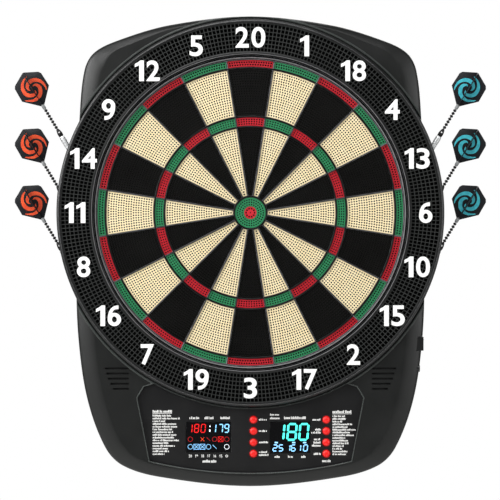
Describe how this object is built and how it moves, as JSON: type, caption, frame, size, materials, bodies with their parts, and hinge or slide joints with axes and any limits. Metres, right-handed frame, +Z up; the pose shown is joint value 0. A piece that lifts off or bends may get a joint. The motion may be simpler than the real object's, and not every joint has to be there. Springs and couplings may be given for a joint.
{
  "type": "electronic dartboard",
  "caption": "Wall-hung electronic soft-tip dartboard with a number ring, sprung scoring segments, score displays, buttons and side dart holders.",
  "frame": {"origin": "on the bull's axis, at the flat back face that lies on the wall", "axes": "+Z up, +Y into the wall, so the target faces -Y; +X to the player's right"},
  "size_m": [0.5312, 0.038, 0.5291],
  "materials": {
    "casing_black": "injection-moulded ABS, fine spark-eroded texture",
    "ring_black": "injection-moulded polypropylene grid",
    "spider_black": "moulded nylon web with rubbed edges",
    "segment_black": "soft-tip segment, perforated",
    "segment_cream": "soft-tip segment, perforated",
    "segment_green": "soft-tip segment, perforated",
    "segment_red": "soft-tip segment, perforated",
    "panel_black": "satin moulded panel",
    "display_glass": "smoked window over a score display",
    "button_red": "moulded silicone button",
    "hardboard_brown": "pressed hardboard",
    "film_clear": "printed polyester film",
    "pad_grey": "sheet rubber",
    "board_green": "glass-epoxy circuit board",
    "speaker_metal": "pressed steel speaker basket",
    "dart_metal": "turned barrel on a black nylon shaft",
    "flight_orange": "printed film flight, black with orange swirls",
    "flight_cyan": "printed film flight, black with cyan swirls"
  },
  "bodies": {
    "root": {"front_housing": "casing_black", "rear_cover": "casing_black", "catch_ring": "ring_black", "spider": "spider_black", "backing_plate": "hardboard_brown", "membrane_switch": "film_clear", "membrane_ribbon": "film_clear", "rubber_pad": "pad_grey", "control_panel": "panel_black", "score_display_left": "display_glass", "score_display_right": "display_glass", "main_board": "board_green", "speaker_left": "speaker_metal", "speaker_right": "speaker_metal", "dc_jack": "panel_black", "switch_bezel": "panel_black"},
    "power_rocker": {"power_rocker": "panel_black"},
    "game_button": {"game_button": "button_red"},
    "player_button": {"player_button": "button_red"},
    "select_button": {"select_button": "button_red"},
    "reset_button": {"reset_button": "button_red"},
    "power_button": {"power_button": "button_red"},
    "volume_button": {"volume_button": "button_red"},
    "cricket_button": {"cricket_button": "button_red"},
    "next_button": {"next_button": "button_red"},
    "dart_left_1": {"dart_left_1": "dart_metal", "flight_left_1": "flight_orange"},
    "dart_left_2": {"dart_left_2": "dart_metal", "flight_left_2": "flight_orange"},
    "dart_left_3": {"dart_left_3": "dart_metal", "flight_left_3": "flight_orange"},
    "dart_right_1": {"dart_right_1": "dart_metal", "flight_right_1": "flight_cyan"},
    "dart_right_2": {"dart_right_2": "dart_metal", "flight_right_2": "flight_cyan"},
    "dart_right_3": {"dart_right_3": "dart_metal", "flight_right_3": "flight_cyan"},
    "bull_outer": {"bull_outer": "segment_green"},
    "bull_inner": {"bull_inner": "segment_red"},
    "segments_20": {"segments_20": "segment_black"},
    "segments_1": {"segments_1": "segment_cream"},
    "segments_18": {"segments_18": "segment_black"},
    "segments_4": {"segments_4": "segment_cream"},
    "segments_13": {"segments_13": "segment_black"},
    "segments_6": {"segments_6": "segment_cream"},
    "segments_10": {"segments_10": "segment_black"},
    "segments_15": {"segments_15": "segment_cream"},
    "segments_2": {"segments_2": "segment_black"},
    "segments_17": {"segments_17": "segment_cream"},
    "segments_3": {"segments_3": "segment_black"},
    "segments_19": {"segments_19": "segment_cream"},
    "segments_7": {"segments_7": "segment_black"},
    "segments_16": {"segments_16": "segment_cream"},
    "segments_8": {"segments_8": "segment_black"},
    "segments_11": {"segments_11": "segment_cream"},
    "segments_14": {"segments_14": "segment_black"},
    "segments_9": {"segments_9": "segment_cream"},
    "segments_12": {"segments_12": "segment_black"},
    "segments_5": {"segments_5": "segment_cream"}
  },
  "joints": [
    {"name": "power_rocker_tilt", "type": "hinge", "parent": "root", "child": "power_rocker", "pos_m": [0.1895, -0.02, -0.1472], "axis": [0, -1, 0], "range_deg": [0, 16]},
    {"name": "game_button_press", "type": "slide", "parent": "root", "child": "game_button", "axis": [0, 1, 0], "range_m": [0, 0.0012], "stiffness_N_per_m": 900},
    {"name": "player_button_press", "type": "slide", "parent": "root", "child": "player_button", "axis": [0, 1, 0], "range_m": [0, 0.0012], "stiffness_N_per_m": 900},
    {"name": "select_button_press", "type": "slide", "parent": "root", "child": "select_button", "axis": [0, 1, 0], "range_m": [0, 0.0012], "stiffness_N_per_m": 900},
    {"name": "reset_button_press", "type": "slide", "parent": "root", "child": "reset_button", "axis": [0, 1, 0], "range_m": [0, 0.0012], "stiffness_N_per_m": 900},
    {"name": "power_button_press", "type": "slide", "parent": "root", "child": "power_button", "axis": [0, 1, 0], "range_m": [0, 0.0012], "stiffness_N_per_m": 900},
    {"name": "volume_button_press", "type": "slide", "parent": "root", "child": "volume_button", "axis": [0, 1, 0], "range_m": [0, 0.0012], "stiffness_N_per_m": 900},
    {"name": "cricket_button_press", "type": "slide", "parent": "root", "child": "cricket_button", "axis": [0, 1, 0], "range_m": [0, 0.0012], "stiffness_N_per_m": 900},
    {"name": "next_button_press", "type": "slide", "parent": "root", "child": "next_button", "axis": [0, 1, 0], "range_m": [0, 0.0012], "stiffness_N_per_m": 900},
    {"name": "dart_left_1_draw", "type": "slide", "parent": "root", "child": "dart_left_1", "axis": [-0.5201, 0, 0.8541], "range_m": [0, 0.034]},
    {"name": "dart_left_2_draw", "type": "slide", "parent": "root", "child": "dart_left_2", "axis": [-0.5201, 0, 0.8541], "range_m": [0, 0.034]},
    {"name": "dart_left_3_draw", "type": "slide", "parent": "root", "child": "dart_left_3", "axis": [-0.5201, 0, 0.8541], "range_m": [0, 0.034]},
    {"name": "dart_right_1_draw", "type": "slide", "parent": "root", "child": "dart_right_1", "axis": [0.5201, 0, 0.8541], "range_m": [0, 0.034]},
    {"name": "dart_right_2_draw", "type": "slide", "parent": "root", "child": "dart_right_2", "axis": [0.5201, 0, 0.8541], "range_m": [0, 0.034]},
    {"name": "dart_right_3_draw", "type": "slide", "parent": "root", "child": "dart_right_3", "axis": [0.5201, 0, 0.8541], "range_m": [0, 0.034]},
    {"name": "bull_outer_press", "type": "slide", "parent": "root", "child": "bull_outer", "axis": [0, 1, 0], "range_m": [0, 0.002], "stiffness_N_per_m": 1200},
    {"name": "bull_inner_press", "type": "slide", "parent": "root", "child": "bull_inner", "axis": [0, 1, 0], "range_m": [0, 0.002], "stiffness_N_per_m": 1200},
    {"name": "segments_20_press", "type": "slide", "parent": "root", "child": "segments_20", "axis": [0, 1, 0], "range_m": [0, 0.002], "stiffness_N_per_m": 1500},
    {"name": "segments_1_press", "type": "slide", "parent": "root", "child": "segments_1", "axis": [0, 1, 0], "range_m": [0, 0.002], "stiffness_N_per_m": 1500},
    {"name": "segments_18_press", "type": "slide", "parent": "root", "child": "segments_18", "axis": [0, 1, 0], "range_m": [0, 0.002], "stiffness_N_per_m": 1500},
    {"name": "segments_4_press", "type": "slide", "parent": "root", "child": "segments_4", "axis": [0, 1, 0], "range_m": [0, 0.002], "stiffness_N_per_m": 1500},
    {"name": "segments_13_press", "type": "slide", "parent": "root", "child": "segments_13", "axis": [0, 1, 0], "range_m": [0, 0.002], "stiffness_N_per_m": 1500},
    {"name": "segments_6_press", "type": "slide", "parent": "root", "child": "segments_6", "axis": [0, 1, 0], "range_m": [0, 0.002], "stiffness_N_per_m": 1500},
    {"name": "segments_10_press", "type": "slide", "parent": "root", "child": "segments_10", "axis": [0, 1, 0], "range_m": [0, 0.002], "stiffness_N_per_m": 1500},
    {"name": "segments_15_press", "type": "slide", "parent": "root", "child": "segments_15", "axis": [0, 1, 0], "range_m": [0, 0.002], "stiffness_N_per_m": 1500},
    {"name": "segments_2_press", "type": "slide", "parent": "root", "child": "segments_2", "axis": [0, 1, 0], "range_m": [0, 0.002], "stiffness_N_per_m": 1500},
    {"name": "segments_17_press", "type": "slide", "parent": "root", "child": "segments_17", "axis": [0, 1, 0], "range_m": [0, 0.002], "stiffness_N_per_m": 1500},
    {"name": "segments_3_press", "type": "slide", "parent": "root", "child": "segments_3", "axis": [0, 1, 0], "range_m": [0, 0.002], "stiffness_N_per_m": 1500},
    {"name": "segments_19_press", "type": "slide", "parent": "root", "child": "segments_19", "axis": [0, 1, 0], "range_m": [0, 0.002], "stiffness_N_per_m": 1500},
    {"name": "segments_7_press", "type": "slide", "parent": "root", "child": "segments_7", "axis": [0, 1, 0], "range_m": [0, 0.002], "stiffness_N_per_m": 1500},
    {"name": "segments_16_press", "type": "slide", "parent": "root", "child": "segments_16", "axis": [0, 1, 0], "range_m": [0, 0.002], "stiffness_N_per_m": 1500},
    {"name": "segments_8_press", "type": "slide", "parent": "root", "child": "segments_8", "axis": [0, 1, 0], "range_m": [0, 0.002], "stiffness_N_per_m": 1500},
    {"name": "segments_11_press", "type": "slide", "parent": "root", "child": "segments_11", "axis": [0, 1, 0], "range_m": [0, 0.002], "stiffness_N_per_m": 1500},
    {"name": "segments_14_press", "type": "slide", "parent": "root", "child": "segments_14", "axis": [0, 1, 0], "range_m": [0, 0.002], "stiffness_N_per_m": 1500},
    {"name": "segments_9_press", "type": "slide", "parent": "root", "child": "segments_9", "axis": [0, 1, 0], "range_m": [0, 0.002], "stiffness_N_per_m": 1500},
    {"name": "segments_12_press", "type": "slide", "parent": "root", "child": "segments_12", "axis": [0, 1, 0], "range_m": [0, 0.002], "stiffness_N_per_m": 1500},
    {"name": "segments_5_press", "type": "slide", "parent": "root", "child": "segments_5", "axis": [0, 1, 0], "range_m": [0, 0.002], "stiffness_N_per_m": 1500}
  ]
}
